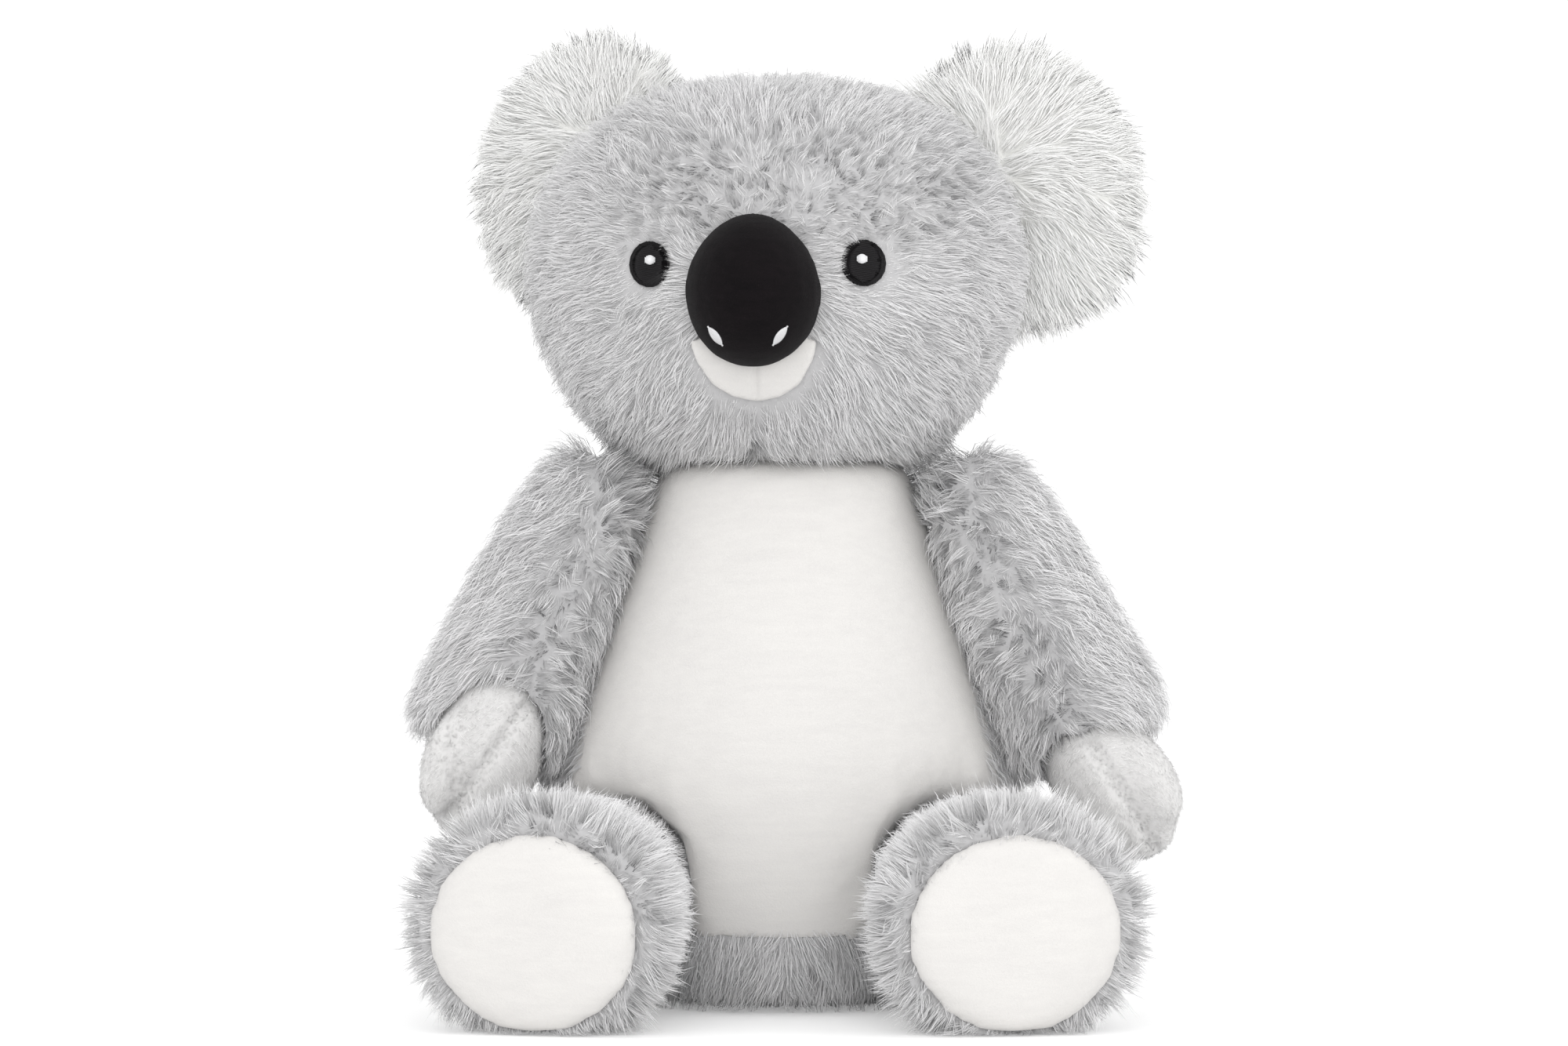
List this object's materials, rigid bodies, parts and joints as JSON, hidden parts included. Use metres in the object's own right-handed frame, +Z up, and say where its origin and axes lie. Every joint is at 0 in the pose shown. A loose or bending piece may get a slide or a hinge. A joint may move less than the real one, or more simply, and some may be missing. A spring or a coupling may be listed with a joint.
{
  "type": "plush koala",
  "caption": "Soft toy koala sitting upright: stuffed body, turning head with floppy ears, large nose, swinging arms with mitten paws and stub legs with flat soles.",
  "frame": {"origin": "middle of the flat seat, on the floor under the neck", "axes": "+Z up, -Y the way the body faces, +X the koala's own left"},
  "size_m": [0.2322, 0.1775, 0.2984],
  "materials": {
    "grey_plush": "long grey plush pile",
    "white_plush": "long white plush pile",
    "velour": "short off-white velour",
    "minky": "short grey minky pile",
    "black_velour": "short black velour",
    "black_thread": "black satin stitch",
    "white_thread": "white satin stitch",
    "wadding": "polyester fibre filling"
  },
  "bodies": {
    "torso": {"body_side_left": "grey_plush", "body_side_right": "grey_plush", "belly_panel": "velour", "seat_panel": "grey_plush", "body_filling": "wadding"},
    "head": {"head_face_left": "grey_plush", "head_face_right": "grey_plush", "head_back": "grey_plush", "head_filling": "wadding", "nose": "black_velour", "nostril_left": "white_thread", "nostril_right": "white_thread", "mouth": "velour", "eye_left": "black_thread", "eye_glint_left": "white_thread", "eye_right": "black_thread", "eye_glint_right": "white_thread"},
    "ear_left": {"ear_front_left": "white_plush", "ear_back_left": "grey_plush"},
    "ear_right": {"ear_front_right": "white_plush", "ear_back_right": "grey_plush"},
    "arm_left": {"sleeve_left": "grey_plush", "arm_filling_left": "wadding", "paw_left": "minky"},
    "arm_right": {"sleeve_right": "grey_plush", "arm_filling_right": "wadding", "paw_right": "minky"},
    "leg_left": {"leg_cover_left": "grey_plush", "leg_filling_left": "wadding", "sole_left": "velour"},
    "leg_right": {"leg_cover_right": "grey_plush", "leg_filling_right": "wadding", "sole_right": "velour"}
  },
  "joints": [
    {"name": "head_turn", "type": "hinge", "parent": "torso", "child": "head", "pos_m": [-0.0025, 0, 0.16615], "axis": [0, 0, 1], "range_deg": [-19, 31], "stiffness_Nm_per_rad": 0.12},
    {"name": "arm_swing_left", "type": "hinge", "parent": "torso", "child": "arm_left", "pos_m": [0.04397, -0.00775, 0.14375], "axis": [-0.9254, 0.1632, -0.342], "range_deg": [-30, 80], "stiffness_Nm_per_rad": 0.06},
    {"name": "leg_swing_left", "type": "hinge", "parent": "torso", "child": "leg_left", "pos_m": [0.054, -0.0275, 0.03497], "axis": [-0.9877, -0.1564, 0], "range_deg": [-15, 20], "stiffness_Nm_per_rad": 0.15},
    {"name": "ear_flop_left", "type": "hinge", "parent": "head", "child": "ear_left", "pos_m": [0.06154, 0.01797, 0.24583], "axis": [0.3216, 0.0509, -0.9455], "range_deg": [-20, 20], "stiffness_Nm_per_rad": 0.02},
    {"name": "arm_swing_right", "type": "hinge", "parent": "torso", "child": "arm_right", "pos_m": [-0.04397, -0.00775, 0.14375], "axis": [-0.9254, -0.1632, 0.342], "range_deg": [-30, 80], "stiffness_Nm_per_rad": 0.06},
    {"name": "leg_swing_right", "type": "hinge", "parent": "torso", "child": "leg_right", "pos_m": [-0.054, -0.0275, 0.03497], "axis": [-0.9744, 0.225, 0], "range_deg": [-15, 20], "stiffness_Nm_per_rad": 0.15},
    {"name": "ear_flop_right", "type": "hinge", "parent": "head", "child": "ear_right", "pos_m": [-0.05162, 0.0368, 0.24949], "axis": [0.3522, -0.2034, 0.9135], "range_deg": [-20, 20], "stiffness_Nm_per_rad": 0.02}
  ]
}
